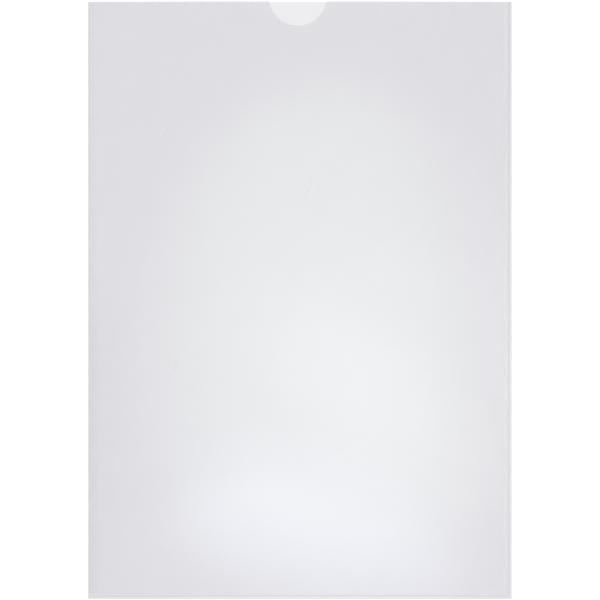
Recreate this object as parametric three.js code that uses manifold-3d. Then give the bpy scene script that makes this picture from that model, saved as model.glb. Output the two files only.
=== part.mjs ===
// Clear plastic sleeve that holds A4 sheets, lying on its back leaf with its mouth towards +Y.
// One sheet of clear film is creased along the left edge and folded over on itself. The two leaves are
// fused by a pressed weld along the right and bottom edges, and stay open at the top, where the front
// leaf has a thumb notch. The front leaf stands off the back one in a shallow bow, as film that has
// been folded does, so the mouth gapes a little.
// Millimetres, +Z up. The origin is on the table, under the middle of the sleeve's outline.
import * as THREE from "three";
import { mergeVertices } from "three/addons/utils/BufferGeometryUtils.js";
import Module from "manifold-3d";

// The sheet of paper that the pocket holds, and the room it has there across and along
const sheetWidth = 210;
const sheetLength = 297;
const roomAcross = 6.6;
const roomAlong = 10.2;

const filmThickness = 0.2;

// The pressed crease of the folded edge, measured in from the left edge
const creaseWidth = 0.6;

// The weld: a fused strip along the cut edge, with one pressed groove in it and a rounded edge
const weldWidth = 2.8;
const grooveFromEdge = 1.45;
const grooveWidth = 1.1;
const grooveDepth = 0.14;
const weldEdgeRadius = 0.08;

// How far the front leaf's underside stands off the back leaf at the middle of the mouth, and how
// full the bow is: 2 gives a parabola, and more gives a flatter middle with steeper sides
const mouthGap = 7;
const bowFullness = 2.5;

// The thumb notch: an arc cut into the front leaf's mouth edge, with its two shoulders rounded off
const notchRadius = 15;
const notchDepth = 12.6;
const shoulderRadius = 1;

// Facets of the bowed leaf and of the arcs
const bowStepsAcross = 24;
const bowStepsAlong = 30;
const arcSteps = 24;
const grooveSteps = 8;

// Outline of the pocket and of the whole sleeve, and where the pieces meet
const pocketWidth = sheetWidth + roomAcross;
const pocketLength = sheetLength + roomAlong;
const sleeveWidth = creaseWidth + pocketWidth + weldWidth;
const sleeveLength = weldWidth + pocketLength;
const leftEdge = -sleeveWidth / 2;
const rightEdge = sleeveWidth / 2;
const bottomEdge = -sleeveLength / 2;
const mouthEdge = sleeveLength / 2;
const pocketLeft = leftEdge + creaseWidth;
const pocketCentre = pocketLeft + pocketWidth / 2;
const seamThickness = 2 * filmThickness;

const UP = new THREE.Vector3(0, 0, 1);
const RIGHTWARDS = new THREE.Vector3(1, 0, 0);
const LEFTWARDS = new THREE.Vector3(-1, 0, 0);
const TOWARDS_MOUTH = new THREE.Vector3(0, 1, 0);
const TOWARDS_BOTTOM = new THREE.Vector3(0, -1, 0);

const { Manifold, Mesh: SolidMesh } = await loadManifold();

async function loadManifold() {
  const wasm = await Module();
  wasm.setup();
  return wasm;
}

function toSolid(geometry) {
  const bare = geometry.clone();
  bare.deleteAttribute("normal");
  bare.deleteAttribute("uv");
  const merged = mergeVertices(bare);
  return new Manifold(
    new SolidMesh({
      numProp: 3,
      vertProperties: merged.getAttribute("position").array,
      triVerts: new Uint32Array(merged.index.array),
    }),
  );
}

function toGeometry(solid) {
  const { vertProperties, triVerts } = solid.getMesh();
  const geometry = new THREE.BufferGeometry();
  geometry.setAttribute("position", new THREE.BufferAttribute(vertProperties, 3));
  geometry.setIndex(new THREE.BufferAttribute(triVerts, 1));
  geometry.computeVertexNormals();
  return geometry;
}

function clearFilm(color, opacity) {
  return new THREE.MeshStandardMaterial({
    color,
    opacity,
    transparent: true,
    roughness: 0.12,
    metalness: 0,
  });
}

function piece(name, geometry, material) {
  const mesh = new THREE.Mesh(geometry, material);
  mesh.name = name;
  return mesh;
}

// Height of the bow over the back leaf: none at the crease and the two welds, and most at the middle
// of the mouth. Across the pocket it is 1 - |s|^n for s from -1 to 1, and along it 1 - (1 - v)^n for v
// from 0 at the bottom weld to 1 at the mouth.
function bowHeight(x, y) {
  const across = Math.min(1, Math.abs((2 * (x - pocketCentre)) / pocketWidth));
  const fromMouth = Math.min(1, Math.max(0, (mouthEdge - y) / pocketLength));
  return mouthGap * (1 - across ** bowFullness) * (1 - fromMouth ** bowFullness);
}

// Lays a piece, drawn with x inwards from an edge, y up and z along it, with its first end at (x, y).
function layAlongEdge(mesh, inwards, along, x, y) {
  mesh.setRotationFromMatrix(new THREE.Matrix4().makeBasis(inwards, UP, along));
  mesh.position.set(x, y, 0);
}

// The back leaf: flat film between the crease, the welds and the mouth.
function backLeaf() {
  const geometry = new THREE.BoxGeometry(pocketWidth, pocketLength, filmThickness);
  const leaf = piece("back_leaf", geometry, clearFilm(0xe9e9ee, 0.3));
  leaf.position.set(pocketCentre, mouthEdge - pocketLength / 2, filmThickness / 2);
  return leaf;
}

// Outline of the notch in the leaf's plane. It runs past the mouth edge, and its arc has its centre
// above that edge. Each shoulder is a small circle that touches both the arc and the edge.
function notchOutline() {
  const arcCentreY = mouthEdge + notchRadius - notchDepth;
  const shoulderY = mouthEdge - shoulderRadius;
  const reach = notchRadius + shoulderRadius;
  const rise = arcCentreY - shoulderY;
  const shoulderX = Math.sqrt(reach ** 2 - rise ** 2);
  const turn = Math.atan2(rise, shoulderX);
  const beyond = mouthEdge + notchDepth;
  const outline = new THREE.Shape();
  outline.moveTo(pocketCentre - shoulderX, beyond);
  outline.absarc(pocketCentre - shoulderX, shoulderY, shoulderRadius, Math.PI / 2, turn, true);
  outline.absarc(pocketCentre, arcCentreY, notchRadius, Math.PI + turn, -turn, false);
  outline.absarc(pocketCentre + shoulderX, shoulderY, shoulderRadius, Math.PI - turn, Math.PI / 2, true);
  outline.lineTo(pocketCentre + shoulderX, beyond);
  return outline;
}

// The front leaf: the same film, raised vertex by vertex to the bow, with the thumb notch cut out.
function frontLeaf() {
  const film = new THREE.BoxGeometry(
    pocketWidth,
    pocketLength,
    filmThickness,
    bowStepsAcross,
    bowStepsAlong,
  );
  film.translate(pocketCentre, mouthEdge - pocketLength / 2, 1.5 * filmThickness);
  const position = film.getAttribute("position");
  for (let i = 0; i < position.count; i++) {
    const lift = bowHeight(position.getX(i), position.getY(i));
    position.setZ(i, position.getZ(i) + lift);
  }
  const cutter = new THREE.ExtrudeGeometry(notchOutline(), {
    depth: mouthGap + 2 * seamThickness,
    bevelEnabled: false,
    curveSegments: arcSteps,
  });
  const cut = toSolid(film).subtract(toSolid(cutter));
  return piece("front_leaf", toGeometry(cut), clearFilm(0xe4e4ea, 0.3));
}

// The folded edge: film creased flat on itself, so it is as thick as both leaves, with a half-round
// outer side.
function foldedEdge() {
  const section = new THREE.Shape();
  section.moveTo(creaseWidth, 0);
  section.lineTo(creaseWidth, seamThickness);
  section.absarc(filmThickness, filmThickness, filmThickness, Math.PI / 2, 1.5 * Math.PI, false);
  const geometry = new THREE.ExtrudeGeometry(section, {
    depth: pocketLength,
    bevelEnabled: false,
    curveSegments: arcSteps,
  });
  const edge = piece("folded_edge", geometry, clearFilm(0xdcdce2, 0.5));
  layAlongEdge(edge, RIGHTWARDS, TOWARDS_BOTTOM, leftEdge, mouthEdge);
  return edge;
}

// Section of a weld, from its cut edge at x = 0 inwards, standing on the table. The groove is one
// wave of a cosine pressed into the top.
function weldSection() {
  const section = new THREE.Shape();
  const top = seamThickness;
  section.moveTo(weldWidth, 0);
  section.lineTo(weldWidth, top);
  for (let i = 0; i <= grooveSteps; i++) {
    const share = i / grooveSteps;
    const dip = (grooveDepth * (1 - Math.cos(2 * Math.PI * share))) / 2;
    section.lineTo(grooveFromEdge + grooveWidth * (0.5 - share), top - dip);
  }
  section.absarc(weldEdgeRadius, top - weldEdgeRadius, weldEdgeRadius, Math.PI / 2, Math.PI, false);
  section.absarc(weldEdgeRadius, weldEdgeRadius, weldEdgeRadius, Math.PI, 1.5 * Math.PI, false);
  return section;
}

// A weld of the given length along its cut edge. The end at the bottom right corner, which is the
// first end or else the last, is mitred at 45 degrees, so that two welds meet in one square corner.
function weldStrip(name, length, mitreFirstEnd) {
  const geometry = new THREE.ExtrudeGeometry(weldSection(), {
    depth: length,
    bevelEnabled: false,
    curveSegments: grooveSteps,
  });
  const position = geometry.getAttribute("position");
  const mitred = mitreFirstEnd ? 0 : length;
  const slant = mitreFirstEnd ? 1 : -1;
  for (let i = 0; i < position.count; i++) {
    if (position.getZ(i) === mitred) position.setZ(i, mitred + slant * position.getX(i));
  }
  geometry.computeVertexNormals();
  return piece(name, geometry, clearFilm(0xd8d8de, 0.5));
}

// The weld down the right edge, from the bottom right corner up to the mouth.
function sideWeld() {
  const weld = weldStrip("side_weld", sleeveLength, true);
  layAlongEdge(weld, LEFTWARDS, TOWARDS_MOUTH, rightEdge, bottomEdge);
  return weld;
}

// The weld along the bottom edge, under the folded edge and across to the bottom right corner.
function bottomWeld() {
  const weld = weldStrip("bottom_weld", sleeveWidth, false);
  layAlongEdge(weld, TOWARDS_MOUTH, RIGHTWARDS, leftEdge, bottomEdge);
  return weld;
}

const sleeve = new THREE.Group();
sleeve.name = "clear_plastic_sleeve";
sleeve.add(backLeaf(), frontLeaf(), foldedEdge(), sideWeld(), bottomWeld());

export default sleeve;
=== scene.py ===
# Clear plastic sleeve for A4 sheets. One sheet of film is folded on the left and welded on the right and along
# the bottom, and its two leaves are open at the top, where the front one has a thumb notch.
# Sizes are in millimetres until a mesh is made.
import math

import bpy
import numpy as np
from mathutils import Matrix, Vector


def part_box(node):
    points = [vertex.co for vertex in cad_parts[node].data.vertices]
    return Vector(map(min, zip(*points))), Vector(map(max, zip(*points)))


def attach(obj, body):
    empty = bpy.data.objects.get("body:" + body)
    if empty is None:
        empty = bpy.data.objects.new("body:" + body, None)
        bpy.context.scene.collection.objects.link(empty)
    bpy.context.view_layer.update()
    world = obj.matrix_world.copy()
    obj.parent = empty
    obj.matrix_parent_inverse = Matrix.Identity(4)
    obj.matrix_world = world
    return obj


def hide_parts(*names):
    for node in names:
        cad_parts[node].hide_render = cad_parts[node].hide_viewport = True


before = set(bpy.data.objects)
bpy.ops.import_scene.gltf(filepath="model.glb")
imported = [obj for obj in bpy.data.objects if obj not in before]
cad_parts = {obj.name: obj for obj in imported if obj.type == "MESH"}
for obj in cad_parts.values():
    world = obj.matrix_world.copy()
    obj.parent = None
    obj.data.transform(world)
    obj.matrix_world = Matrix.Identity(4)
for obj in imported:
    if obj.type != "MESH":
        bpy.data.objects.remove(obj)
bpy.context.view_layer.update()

# ---- The view
# Straight down on the sleeve, with its mouth at the top of the picture. A long lens three metres up keeps the
# sides parallel, and the picture is 311.7 mm wide at the table.

camera_height = 3000
picture_width = 311.7
picture_centre = (0.05, 0.2)
sensor_width = 36
mm = 0.001

lens = bpy.data.cameras.new("camera")
lens.sensor_width = sensor_width
lens.lens = sensor_width * camera_height / picture_width
camera = bpy.data.objects.new("camera", lens)
camera.location = np.array([*picture_centre, camera_height]) * mm
bpy.context.scene.collection.objects.link(camera)
bpy.context.scene.camera = camera

# ---- Back leaf
# The rear half of the film, which lies on the table. Clear glossy plastic 0.2 mm thick, flat but for the faint
# swells that film keeps from the roll, and joined to the fold, the side weld and the bottom weld.

film_thickness = 0.2
seam_gap = 0.006
sharp_angle = 40


def node_box(node):
    """Lowest and highest corner of a CAD node, in millimetres."""
    low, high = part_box(node)
    return np.array(low) / mm, np.array(high) / mm


def closed_mesh(name, points, quads, caps=()):
    """A closed mesh from points in millimetres and faces. If its volume comes out negative, the faces point
    inwards, and all are turned round. Only edges of more than the sharp angle stay sharp."""
    points = np.asarray(points, float).reshape(-1, 3) * mm
    corners = [quads[:, [0, 1, 2]], quads[:, [0, 2, 3]]]
    for cap in caps:
        cap = np.asarray(cap)
        corners.append(np.stack([np.full(len(cap) - 2, cap[0]), cap[1:-1], cap[2:]], axis=1))
    a, b, c = (points[np.concatenate(corners)[:, i]] for i in range(3))
    volume = np.einsum("ij,ij->", a, np.cross(b, c)) / 6
    turn = 1 if volume > 0 else -1
    faces = quads[:, ::turn].tolist() + [list(cap)[::turn] for cap in caps]
    mesh = bpy.data.meshes.new(name)
    mesh.from_pydata(points.tolist(), [], faces)
    mesh.shade_smooth()
    mesh.set_sharp_from_angle(angle=math.radians(sharp_angle))
    made = bpy.data.objects.new(name, mesh)
    bpy.context.scene.collection.objects.link(made)
    return made


def film_sheet(name, x, y, under):
    """A sheet of film over a grid, whose rows run along +X and whose columns run along +Y. Its underside is at
    the height under, its upper side is the film's thickness above, and a wall closes the grid's border."""
    rows, columns = x.shape
    count = rows * columns
    upper = np.stack([x, y, under + film_thickness], axis=-1).reshape(-1, 3)
    lower = np.stack([x, y, under], axis=-1).reshape(-1, 3)
    k = np.arange(count).reshape(rows, columns)
    top = np.stack([k[:-1, :-1], k[:-1, 1:], k[1:, 1:], k[1:, :-1]], axis=-1).reshape(-1, 4)
    border = np.concatenate([k[0, :-1], k[:-1, -1], k[-1, :0:-1], k[:0:-1, 0]])
    after = np.roll(border, -1)
    wall = np.stack([border + count, after + count, after, border], axis=-1)
    faces = np.concatenate([top, top[:, ::-1] + count, wall])
    return closed_mesh(name, np.concatenate([upper, lower]), faces)


class Socket:
    """An output socket. Sums, products and powers of it add Math nodes."""

    def __init__(self, finish, socket):
        self.finish, self.socket = finish, socket

    def maths(self, operation, *values):
        return self.finish.node("Math", {"operation": operation}, dict(enumerate(values)))

    def __add__(self, other):
        return self.maths("ADD", self, other)

    def __sub__(self, other):
        return self.maths("SUBTRACT", self, other)

    def __rsub__(self, other):
        return self.maths("SUBTRACT", other, self)

    def __mul__(self, other):
        return self.maths("MULTIPLY", self, other)

    def __pow__(self, other):
        return self.maths("POWER", self, other)

    def absolute(self):
        return self.maths("ABSOLUTE", self)

    def smaller(self, other):
        return self.maths("MINIMUM", self, other)

    __radd__, __rmul__ = __add__, __mul__


class Finish:
    """A node tree in the making."""

    def __init__(self, tree):
        self.tree = tree
        tree.nodes.clear()

    def node(self, kind, settings={}, sockets={}, output=0):
        """Any node, from its type, its settings, and the values or links of its sockets."""
        made = self.tree.nodes.new("ShaderNode" + kind)
        for name, value in settings.items():
            setattr(made, name, value)
        for name, value in sockets.items():
            if isinstance(value, Socket):
                self.tree.links.new(value.socket, made.inputs[name])
            else:
                made.inputs[name].default_value = value
        return Socket(self, made.outputs[output]) if made.outputs else None

    def step(self, value, start, end):
        """0 at start and 1 at end, with a smooth run between them. Start may be the larger."""
        return self.node(
            "MapRange",
            {"interpolation_type": "SMOOTHSTEP"},
            {"Value": value, "From Min": start, "From Max": end},
        )

    def blend(self, share, first, second):
        """A colour between two, by share."""
        settings = {"data_type": "RGBA"}
        return self.node("Mix", settings, {"Factor": share, 6: first, 7: second}, output=2)

    def looked_at(self):
        """1 for a ray from the camera, off gloss or through clear plastic, and 0 for one that only carries
        light."""
        kinds = ("Is Camera Ray", "Is Glossy Ray", "Is Transmission Ray")
        straight, off_gloss, through = (self.node("LightPath", output=kind) for kind in kinds)
        return (straight + off_gloss + through).smaller(1.0)


class Film(Finish):
    """Clear film. Light goes straight through each face, a little dimmed by the plastic's own tint, but for
    what the face mirrors, which grows at a slant, and what its haze and scuffs hold back. A piece may set
    pale, a mask that whitens the plastic, which on the front leaf's punched edge is a painted highlight,
    and a second mask of painted shade."""

    mirrored_head_on = 0.04
    gloss_colour = (0.95, 0.955, 0.97, 1)
    # shade_colour is the colour that painted shade turns the mirrored colour towards.
    shade_colour = (0.16, 0.16, 0.19, 1)
    smudge_size, smudge_turn = (34, 27), 20
    rub_size, rub_turn = (36, 0.16), 68
    rub_start, rub_end = 0.7, 0.84
    swell_size, swell_height = (2.6, 3.4), 0.0012
    rub_hold, pale_hold, dark_hold = 0.012, 0.16, 0.12
    metal_share, metal_lost = 0.85, 0.8
    smudge_blur, rub_blur = 0.08, 0.1

    def __init__(self, name):
        self.material = bpy.data.materials.new(name)
        self.material.use_nodes = True
        super().__init__(self.material.node_tree)
        place = self.node("TexCoord", output="Object")
        self.in_mm = self.node("VectorMath", {"operation": "SCALE"}, {0: place, "Scale": 1 / mm})
        self.x = self.node("SeparateXYZ", {}, {0: self.in_mm}, output="X")
        self.y = self.node("SeparateXYZ", {}, {0: self.in_mm}, output="Y")
        self.pale = self.painted_shade = None

    def noise(self, length, width, turn=0, detail=1.0):
        """Noise over the film's plane, with lumps of a length and width in millimetres, turned by an angle in
        degrees."""
        sockets = {"Vector": self.in_mm, "Rotation": (0, 0, math.radians(turn)), "Scale": (length, width, 1)}
        spread = self.node("Mapping", {"vector_type": "TEXTURE"}, sockets)
        sockets = {"Vector": spread, "Scale": 1.0, "Detail": detail}
        return self.node("TexNoise", {"noise_dimensions": "2D"}, sockets)

    def close(self, tint, roughness, haze=0.006):
        """Joins the parts: what goes through, what shines, and the share of each. The share mirrored grows from
        head-on to 1 at a full slant with the fifth power of the slant."""
        facing = self.node("LayerWeight", {}, {"Blend": 0.5}, output="Facing")
        mirrored = self.mirrored_head_on + (1 - self.mirrored_head_on) * facing**5
        smudges = self.noise(*self.smudge_size, turn=self.smudge_turn, detail=2.0)
        rubs = self.step(self.noise(*self.rub_size, turn=self.rub_turn), self.rub_start, self.rub_end)
        held_back = haze * (0.5 + smudges) + self.rub_hold * rubs
        whitening_and_highlight, gloss = rubs, self.gloss_colour
        # Pale: whiter plastic, which on the front leaf's punched edge is a painted highlight.
        if self.pale:
            held_back = held_back + self.pale_hold * self.pale
            whitening_and_highlight = whitening_and_highlight + self.pale
        # Painted shade: it holds back more light and turns the mirrored colour towards shade_colour.
        if self.painted_shade:
            held_back = held_back + self.dark_hold * self.painted_shade
            gloss = self.blend(self.painted_shade, self.gloss_colour, self.shade_colour)
        swells = {"Height": self.noise(*self.swell_size), "Distance": self.swell_height * mm}
        solid = {
            "Base Color": gloss,
            "Metallic": self.metal_share - self.metal_lost * whitening_and_highlight.smaller(1.0),
            "Roughness": roughness - self.smudge_blur / 2 + self.smudge_blur * smudges + self.rub_blur * rubs,
            "Normal": self.node("Bump", {}, swells),
        }
        share = (mirrored + held_back).smaller(1.0)
        clear = self.node("BsdfTransparent", {}, {"Color": (*tint, 1)})
        mixed = {0: share, 1: clear, 2: self.node("BsdfPrincipled", {}, solid)}
        self.node("OutputMaterial", {}, {"Surface": self.node("MixShader", {}, mixed)})
        return self.material


film_tint = (0.9305, 0.929, 0.94)

back_low, back_high = node_box("back_leaf")
back_columns, back_rows = 140, 190
swell_depth = 0.03
along_period, slant_periods = 118, (151, 205)
back_roughness = 0.15


def back_swell(x, y):
    """Height of the back leaf's underside: two long shallow cosine swells, one along the sleeve and one on the
    slant, times 1 - s^4 across and 1 - (1 - v)^8 along, which die away at the fold and the welds. s runs from
    -1 to 1 across, and v from 0 at the bottom to 1 at the mouth."""
    s = 2 * (x - (back_low[0] + back_high[0]) / 2) / (back_high[0] - back_low[0])
    v = (y - back_low[1]) / (back_high[1] - back_low[1])
    held = (1 - s**4) * (1 - (1 - v) ** 8)
    first = np.cos(2 * np.pi * (y / along_period + 0.18))
    second = np.cos(2 * np.pi * (x / slant_periods[0] - y / slant_periods[1] + 0.4))
    return swell_depth * held * (2 + first + second)


across, along = np.meshgrid(
    np.linspace(back_low[0] + seam_gap, back_high[0] - seam_gap, back_columns),
    np.linspace(back_low[1] + seam_gap, back_high[1], back_rows),
)
back_film = film_sheet("back_film", across, along, back_swell(across, along))
back_film.data.materials.append(Film("clear_film_back").close(film_tint, back_roughness))
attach(back_film, "root")
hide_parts("back_leaf")

# ---- Folded edge
# The left edge, where the film is creased flat on itself: the same clear plastic bent round a half circle, with
# a hairline left between its two sides.

fold_low, fold_high = node_box("folded_edge")
fold_slit = 0.012
fold_steps = 180
pinch_depth, pinch_period, pinch_reach = 0.012, 42, 0.4
crease_tint = (0.895, 0.895, 0.904)
crease_roughness = 0.22
crease_whitening = 0.12


def slow_ripple(s, period, seed):
    """A smooth random ripple along a length s, between about -1 and 1: five sines near one period, with seeded
    periods and phases."""
    draw = np.random.default_rng(seed)
    periods = period * draw.uniform(0.6, 1.6, 5)
    phases = draw.uniform(0, 2 * np.pi, 5)
    return np.sin(2 * np.pi * np.asarray(s)[..., None] / periods + phases).sum(-1) / 3


def swept(name, points):
    """A closed bar from a section carried along a length. Points holds a row for each station and a column for
    each point round the section, and one face closes each end."""
    stations, around = points.shape[:2]
    k = np.arange(stations * around).reshape(stations, around)
    beside = np.roll(k, -1, axis=1)
    sides = np.stack([k[:-1], beside[:-1], beside[1:], k[1:]], axis=-1).reshape(-1, 4)
    return closed_mesh(name, points, sides, caps=[k[0][::-1], k[-1]])


def fold_section():
    """Section of the fold, from the inner end of its upper side round the outer half circle and back along the
    slit: x inwards from the left edge, z up."""
    radius = film_thickness
    wide = fold_high[0] - fold_low[0] - seam_gap
    bend = np.linspace(np.pi / 2, 3 * np.pi / 2, 17)
    slit = np.linspace(np.pi * 1.5, np.pi * 0.5, 7)
    outer = radius * np.stack([1 + np.cos(bend), 1 + np.sin(bend)], axis=1)
    inner = np.stack([radius - fold_slit * np.cos(slit), radius + fold_slit * np.sin(slit)], axis=1)
    ends = np.array([[wide, 2 * radius], [wide, 0], [wide, radius - fold_slit], [wide, radius + fold_slit]])
    return np.concatenate([ends[:1], outer, ends[1:3], inner, ends[3:]])


section = fold_section()
station = np.linspace(fold_low[1] + seam_gap, fold_high[1], fold_steps)
inward, upward = section[None, :, 0], section[None, :, 1]
pinch = pinch_depth * slow_ripple(station, pinch_period, 3)[:, None]
fold_x = fold_low[0] + inward + pinch * np.clip(1 - inward / pinch_reach, 0, 1)
fold_y = station[:, None] + 0 * inward
fold_z = upward + 0 * fold_y
fold = swept("fold", np.stack([fold_x, fold_y, fold_z], axis=-1))
crease = Film("creased_film_fold")
crease.pale = crease_whitening * crease.noise(3, 30)
fold.data.materials.append(crease.close(crease_tint, crease_roughness, haze=0.012))
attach(fold, "root")
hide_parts("folded_edge")

# ---- Front leaf
# The front half of the film, the same clear plastic. It stands off the back leaf in a shallow bow that opens the
# mouth, and the thumb notch is punched out of its mouth edge.

front_low, front_high = node_box("front_leaf")
mouth_gap = 7
bow_fullness = 2.5
notch_radius = 15
notch_depth = 12.6
shoulder_radius = 1
notch_step = 0.55
mouth_step = 1.6
front_rows = 170
notch_reach = 60
front_roughness = 0.24
# A painted highlight along the punched edge and a white line by the side weld; then painted shade in a ring behind
# the punched edge, in a band by the fold and in a patch low on the left.
punched_highlight, parting_white = 0.55, 0.75
parting_from_weld = 0.3
ring_from_edge, ring_shade = 0.95, 0.12
fold_shade_width, fold_shade_strength = 6, 0.18
low_left_shade_width, low_left_shade_fade, low_left_shade_strength = 34, (20, -25), 0.2

middle_x = (front_low[0] + front_high[0]) / 2
mouth_y = front_high[1]
notch_centre = np.array([middle_x, mouth_y + notch_radius - notch_depth])


def bow(x, y):
    """Height of the front leaf over the back one: none at the fold and the welds and most at the middle of the
    mouth. Across the sleeve it is 1 - |s|^n, and along it 1 - m^n, with s from -1 to 1 and m from 0 at the mouth
    to 1 at the bottom."""
    s = np.abs(2 * (x - middle_x) / (front_high[0] - front_low[0]))
    m = (mouth_y - y) / (mouth_y - front_low[1])
    held = (1 - np.minimum(s, 1) ** bow_fullness) * (1 - np.clip(m, 0, 1) ** bow_fullness)
    return mouth_gap * held


def mouth_outline():
    """The mouth edge from left to right as points at even steps along it: straight, a shoulder's quarter turn, the
    notch's arc, the other shoulder and straight again. Also gives where each point's column starts at the leaf's
    bottom, which is evenly spaced under the notch."""
    reach = notch_radius + shoulder_radius
    rise = notch_centre[1] - (mouth_y - shoulder_radius)
    shoulder_x = math.sqrt(reach**2 - rise**2)
    turn = math.atan2(rise, shoulder_x)
    shoulder_length = shoulder_radius * (math.pi / 2 - turn)
    arc_length = notch_radius * (math.pi - 2 * turn)
    notch_length = 2 * shoulder_length + arc_length
    d = np.linspace(0, notch_length, round(notch_length / notch_step) + 1)
    first = math.pi / 2 - d / shoulder_radius
    on_arc = math.pi + turn + (d - shoulder_length) / notch_radius
    left = [-shoulder_x + shoulder_radius * np.cos(first), -shoulder_radius + shoulder_radius * np.sin(first)]
    arc = [notch_radius * np.cos(on_arc), notch_radius - notch_depth + notch_radius * np.sin(on_arc)]
    last = math.pi / 2 - (notch_length - d) / shoulder_radius
    right = [shoulder_x - shoulder_radius * np.cos(last), -shoulder_radius + shoulder_radius * np.sin(last)]
    x = np.select([d < shoulder_length, d > notch_length - shoulder_length], [left[0], right[0]], arc[0])
    y = np.select([d < shoulder_length, d > notch_length - shoulder_length], [left[1], right[1]], arc[1])
    start = np.linspace(-shoulder_x, shoulder_x, len(d))
    half = (front_high[0] - front_low[0]) / 2 - seam_gap
    straight = np.linspace(-half, -shoulder_x, round((half - shoulder_x) / mouth_step) + 1)[:-1]
    return (
        middle_x + np.concatenate([straight, x, -straight[::-1]]),
        mouth_y + np.concatenate([0 * straight, y, 0 * straight]),
        middle_x + np.concatenate([straight, start, -straight[::-1]]),
    )


edge_x, edge_y, column_x = mouth_outline()
plain_y = np.linspace(front_low[1] + seam_gap, mouth_y, front_rows)[:, None]
drawn = np.clip((plain_y - (mouth_y - notch_reach)) / notch_reach, 0, 1)
drawn = drawn**2 * (3 - 2 * drawn)
front_x = column_x + (edge_x - column_x) * drawn
front_y = plain_y + (edge_y - mouth_y) * drawn
front_z = front_low[2] + seam_gap + bow(front_x, front_y)
front_film = film_sheet("front_film", front_x, front_y, front_z)

notched = Film("clear_film_front")
flat = notched.node("VectorMath", {"operation": "MULTIPLY"}, {0: notched.in_mm, 1: (1, 1, 0)})
from_centre = {0: flat, 1: (*notch_centre, 0.0)}
out = notched.node("VectorMath", {"operation": "DISTANCE"}, from_centre, output="Value") - notch_radius

# The punched edge is white, a painted highlight for light along the cut, with a thin ring of painted shade
# behind it, and a line where the leaf parts from the side weld is white too. Painted shade darkens the film
# beside the fold and low on the left.
from_fold = notched.x - float(front_low[0])
from_weld = float(front_high[0]) - notched.x
parting = parting_white * notched.step((from_weld - parting_from_weld).absolute(), 0.55, 0.15)
notched.pale = punched_highlight * notched.step(out, 0.45, 0.1) + parting
low_left_shade = low_left_shade_strength * notched.step(from_fold, low_left_shade_width, 2) * notched.step(notched.y, *low_left_shade_fade)
fold_shade = fold_shade_strength * notched.step(from_fold, fold_shade_width, 1)
ring = ring_shade * notched.step((out - ring_from_edge).absolute(), 0.55, 0.1)
notched.painted_shade = ring + low_left_shade + fold_shade
front_film.data.materials.append(notched.close(film_tint, front_roughness))
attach(front_film, "root")
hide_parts("front_leaf")

# ---- Side weld and bottom weld
# The seams that close the sleeve's right side and its bottom: both leaves fused into one strip by a hot bar,
# which leaves one groove, and trimmed by a hot wire, which leaves a thin bead along the rounded edge.

weld_width = 2.8
weld_height = 0.4
groove_from_edge = 1.45
groove_width = 1.1
groove_depth = 0.14
edge_radius = 0.08
bead_height, bead_from_edge, bead_half = 0.02, 0.34, 0.17
weld_step = 1.2
groove_period, bead_period, cut_period = 31, 11, 55
corner_fade = 12
cut_wander, wander_reach = 0.035, 0.8
weld_tint = (0.866, 0.8625, 0.88)
weld_roughness = 0.24
weld_pale_line = 0.12
# How strong the painted shade in each weld's groove is.
side_shade, bottom_shade = 0.46, 0.35
right_x = node_box("side_weld")[1][0]
bottom_y = node_box("bottom_weld")[0][1]
top_y = node_box("side_weld")[1][1]
left_x = node_box("bottom_weld")[0][0]


def weld_bar(length, seed):
    """A weld's stations and section points as arrays: x inwards from the cut edge, s along it from the corner
    where the two welds meet, and z. The groove is one wave of a cosine, and the bead a low bell shape. Slow
    ripples vary both and the cut edge's line, and die away at the mitred corner, where s starts at x."""
    inner = np.linspace(weld_width - seam_gap, groove_from_edge + groove_width / 2, 6)[:-1]
    dip = np.linspace(0.5, -0.5, 21)
    groove = groove_from_edge + groove_width * dip
    lip = np.linspace(groove_from_edge - groove_width / 2, edge_radius, 12)[1:-1]
    turn = np.linspace(0, np.pi / 2, 6)
    corner_x = edge_radius * (1 - np.sin(turn))
    corner_z = edge_radius * (1 - np.cos(turn))
    foot = np.linspace(edge_radius, weld_width - seam_gap, 8)[1:]
    top_x = np.concatenate([inner, groove, lip, corner_x])
    x = np.concatenate([top_x, corner_x[::-1], foot])
    on_top = np.arange(len(x)) < len(top_x)
    t = np.linspace(0, 1, round(length / weld_step))[:, None]
    s = x * (1 - t) + length * t
    held = 1 - np.exp(-((s / corner_fade) ** 2))
    from_groove = np.clip((x - groove_from_edge) / groove_width, -0.5, 0.5)
    wave = (1 + np.cos(2 * np.pi * from_groove)) / 2
    bell = np.exp(-(((x - bead_from_edge) / bead_half) ** 2))
    pressed = groove_depth * (1 + 0.1 * held * slow_ripple(s, groove_period, seed)) * wave
    bead = bead_height * (1 + 0.5 * held * slow_ripple(s, bead_period, seed + 1)) * bell
    corner_drop = np.concatenate([np.zeros(len(top_x) - len(corner_z)), corner_z, corner_z[::-1], 0 * foot])
    z = np.where(on_top, weld_height - pressed + bead - corner_drop, corner_drop)
    wander = cut_wander * held * slow_ripple(s, cut_period, seed + 2) * np.clip(1 - x / wander_reach, 0, 1)
    return x + wander, s, z


def welded_film(name, inwards, groove_shade):
    """The fused strip's finish: painted shade that darkens the pressed groove, and a faint pale line at the
    strip's inner edge. Inwards gives the distance from the cut edge."""
    fused = Film(name)
    deep = inwards(fused)
    fused.painted_shade = groove_shade * fused.step((deep - groove_from_edge).absolute(), groove_width * 0.64, 0.36)
    fused.pale = weld_pale_line * fused.step((deep - weld_width + 0.1).absolute(), 0.4, 0.1)
    return fused.close(weld_tint, weld_roughness, haze=0.008)


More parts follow.
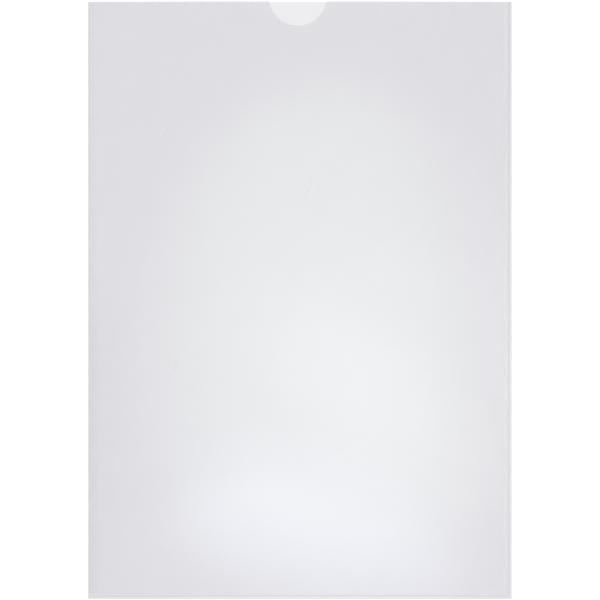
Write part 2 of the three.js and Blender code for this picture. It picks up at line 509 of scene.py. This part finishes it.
x, s, z = weld_bar(top_y - bottom_y, 11)
side_seam = swept("side_seam", np.stack([right_x - x, bottom_y + s, z], axis=-1))
side_finish = welded_film("welded_film_side", lambda film: float(right_x) - film.x, side_shade)
side_seam.data.materials.append(side_finish)
x, s, z = weld_bar(right_x - left_x, 21)
bottom_seam = swept("bottom_seam", np.stack([right_x - s, bottom_y + x, z], axis=-1))
bottom_finish = welded_film("welded_film_bottom", lambda film: film.y - float(bottom_y), bottom_shade)
bottom_seam.data.materials.append(bottom_finish)
for seam, node in ((side_seam, "side_weld"), (bottom_seam, "bottom_weld")):
    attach(seam, "root")
    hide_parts(node)

# ---- Table
# A plain white table top. It shows as white to the camera and in reflections, and still takes the sleeve's
# shadow.

table_width = 7000
table_drop = 0.12
table_colour = 0.95
white_share = 0.8
white_level = 1.06

table_mesh = bpy.data.meshes.new("table")
table_corners = np.array([(-1, -1, 0), (1, -1, 0), (1, 1, 0), (-1, 1, 0)])
table_points = table_corners * table_width / 2 - (0, 0, table_drop)
table_mesh.from_pydata((table_points * mm).tolist(), [], [(0, 1, 2, 3)])
table = bpy.data.objects.new("table", table_mesh)
bpy.context.scene.collection.objects.link(table)

table_material = bpy.data.materials.new("white_table")
table_material.use_nodes = True
top = Finish(table_material.node_tree)
lit = top.node("BsdfDiffuse", {}, {"Color": (table_colour, table_colour, table_colour, 1)})
shown = top.node("Emission", {}, {"Color": (1, 1, 1, 1), "Strength": white_level})
mixed = top.node("MixShader", {}, {0: white_share * top.looked_at(), 1: lit, 2: shown})
top.node("OutputMaterial", {}, {"Surface": mixed})
table_mesh.materials.append(table_material)

# ---- Light
# A white room, four soft oval lamps close above the sleeve, and a large soft lamp out on each side. The four are
# at different heights, so that none hides another in the film, and they make the sheen's broad oval, its bright
# middle and its cool lower patch. A matt white surface on the table renders as white.

room_level = 0.74


def soft_lamp(name, place, aim, size, brightness, colour=(1, 1, 1), spin=0):
    """An oval area lamp of a size in millimetres, turned from its place towards aim and spun about that line by
    an angle in degrees, with an even brightness."""
    lamp = bpy.data.lights.new(name, "AREA")
    lamp.shape = "ELLIPSE"
    lamp.color = colour
    lamp.size, lamp.size_y = size[0] * mm, size[1] * mm
    lamp.energy = brightness * math.pi * math.pi / 4 * lamp.size * lamp.size_y
    made = bpy.data.objects.new(name, lamp)
    place, aim = np.array(place, float), np.array(aim, float)
    down = (aim - place) / np.linalg.norm(aim - place)
    right = np.cross(down, (0, 1, 0))
    right /= np.linalg.norm(right)
    up = np.cross(right, down)
    turn = np.eye(4)
    turn[:3] = np.stack([right, up, -down, place * mm], axis=1)
    made.matrix_world = Matrix(turn.tolist()) @ Matrix.Rotation(math.radians(spin), 4, "Z")
    made.visible_camera = False
    bpy.context.scene.collection.objects.link(made)


soft_lamp("wide_lamp", (92, -20, 341), (92, -20, 0), (301, 101), 0.23, (0.95, 1, 0.91))
soft_lamp("large_lamp", (20, -24, 333), (20, -24, 0), (239, 296), 0.85, (0.89, 1, 0.73))
soft_lamp("middle_lamp", (53, -69, 325), (53, -69, 0), (159, 78), 0.59, (1, 0.97, 0.9), spin=-37)
soft_lamp("lower_lamp", (9, -143, 317), (9, -143, 0), (173, 66), 1.5, (0.8, 0.855, 1), spin=-13)
soft_lamp("left_lamp", (-2200, 300, 1500), (0, 0, 0), (1000, 1350), 3.0)
soft_lamp("right_lamp", (2200, -300, 1500), (0, 0, 0), (1000, 1350), 3.0)

world = bpy.data.worlds.new("white_room")
world.use_nodes = True
bpy.context.scene.world = world
room = Finish(world.node_tree)
level = room_level + (1 - room_level) * room.looked_at()
air = room.node("Background", {}, {"Color": (1, 1, 1, 1), "Strength": level})
room.node("OutputWorld", {}, {"Surface": air})

bpy.context.scene.view_settings.view_transform = "Standard"
bpy.context.scene.cycles.transparent_max_bounces = 32
